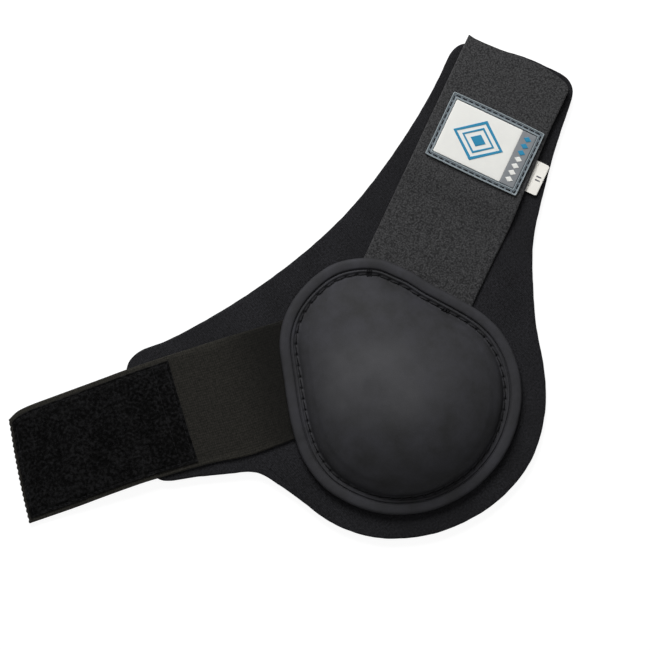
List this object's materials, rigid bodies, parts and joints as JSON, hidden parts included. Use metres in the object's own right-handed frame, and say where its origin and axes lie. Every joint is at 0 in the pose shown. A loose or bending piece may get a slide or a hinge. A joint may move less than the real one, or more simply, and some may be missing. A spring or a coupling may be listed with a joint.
{
  "type": "fetlock boot",
  "caption": "Horse's hind fetlock boot: a padded moulded cup sewn on a neoprene wrap, closed round the leg by a webbing strap and an elastic strap with hook and loop.",
  "frame": {"origin": "middle of the footprint, on the surface that the boot lies on", "axes": "+X across the boot towards the webbing strap, +Y up the leg, +Z out of the cup, away from the leg"},
  "size_m": [0.3404, 0.1858, 0.0325],
  "materials": {
    "lining_cloth": "matt knitted cloth",
    "neoprene": "matt foam rubber, raw cut edge",
    "jersey_cloth": "matt fine jersey",
    "cup_leather_look": "semi-matt leather grain",
    "cup_foam": "open-cell foam",
    "black_thread": "twisted polyester",
    "upper_webbing": "pebbled webbing",
    "lower_elastic": "ribbed elastic webbing",
    "loop_pile": "napped loop pile",
    "hook_nylon": "moulded hook rows",
    "badge_rubber": "soft moulded rubber",
    "badge_panel_white": "soft moulded rubber",
    "badge_strip_grey": "soft moulded rubber",
    "label_ribbon": "satin ribbon"
  },
  "bodies": {
    "boot_center": {"inner_lining_center": "lining_cloth", "neoprene_core_center": "neoprene", "outer_jersey_center": "jersey_cloth", "cup_shell": "cup_leather_look", "cup_foam_pad": "cup_foam", "cup_seam_thread": "black_thread", "cup_bobbin_thread": "black_thread", "upper_strap_root": "upper_webbing", "lower_strap_root": "lower_elastic"},
    "upper_wing": {"inner_lining_upper_wing": "lining_cloth", "neoprene_core_upper_wing": "neoprene", "outer_jersey_upper_wing": "jersey_cloth", "upper_strap_base": "upper_webbing"},
    "upper_strap": {"upper_strap": "upper_webbing", "upper_hook_patch": "hook_nylon", "badge_base": "badge_rubber", "badge_panel": "badge_panel_white", "badge_strip": "badge_strip_grey", "badge_seam_thread": "black_thread", "size_label_tail": "label_ribbon"},
    "size_label": {"size_label": "label_ribbon"},
    "lower_wing": {"inner_lining_lower_wing": "lining_cloth", "neoprene_core_lower_wing": "neoprene", "outer_jersey_lower_wing": "jersey_cloth", "lower_strap_base": "lower_elastic"},
    "lower_strap": {"lower_strap": "lower_elastic", "loop_patch_inner": "loop_pile"},
    "lower_strap_tip": {"lower_strap_tip": "lower_elastic", "loop_patch_outer": "loop_pile", "lower_hook_patch": "hook_nylon"}
  },
  "joints": [
    {"name": "upper_wing_wrap", "type": "hinge", "parent": "boot_center", "child": "upper_wing", "pos_m": [0.06373, 0.00369, 0], "axis": [-0.4194, 0.9078, 0], "range_deg": [0, 100]},
    {"name": "upper_strap_peel", "type": "hinge", "parent": "upper_wing", "child": "upper_strap", "pos_m": [0.07463, 0.00872, 0.0072], "axis": [0.4194, -0.9078, 0], "range_deg": [0, 120]},
    {"name": "size_label_flip", "type": "hinge", "parent": "upper_strap", "child": "size_label", "pos_m": [0.12587, 0.01703, 0.0072], "axis": [-0.9078, -0.4194, 0], "range_deg": [0, 85]},
    {"name": "lower_wing_wrap", "type": "hinge", "parent": "boot_center", "child": "lower_wing", "pos_m": [-0.0487, -0.00034, 0], "axis": [-0.3535, -0.9354, 0], "range_deg": [0, 100]},
    {"name": "lower_strap_peel", "type": "hinge", "parent": "lower_wing", "child": "lower_strap", "pos_m": [-0.05993, 0.0039, 0.007], "axis": [0.3535, 0.9354, 0], "range_deg": [0, 120]},
    {"name": "lower_strap_tip_wrap", "type": "hinge", "parent": "lower_strap", "child": "lower_strap_tip", "pos_m": [-0.114, 0.02433, 0.0056], "axis": [-0.3535, -0.9354, 0], "range_deg": [0, 90]}
  ]
}
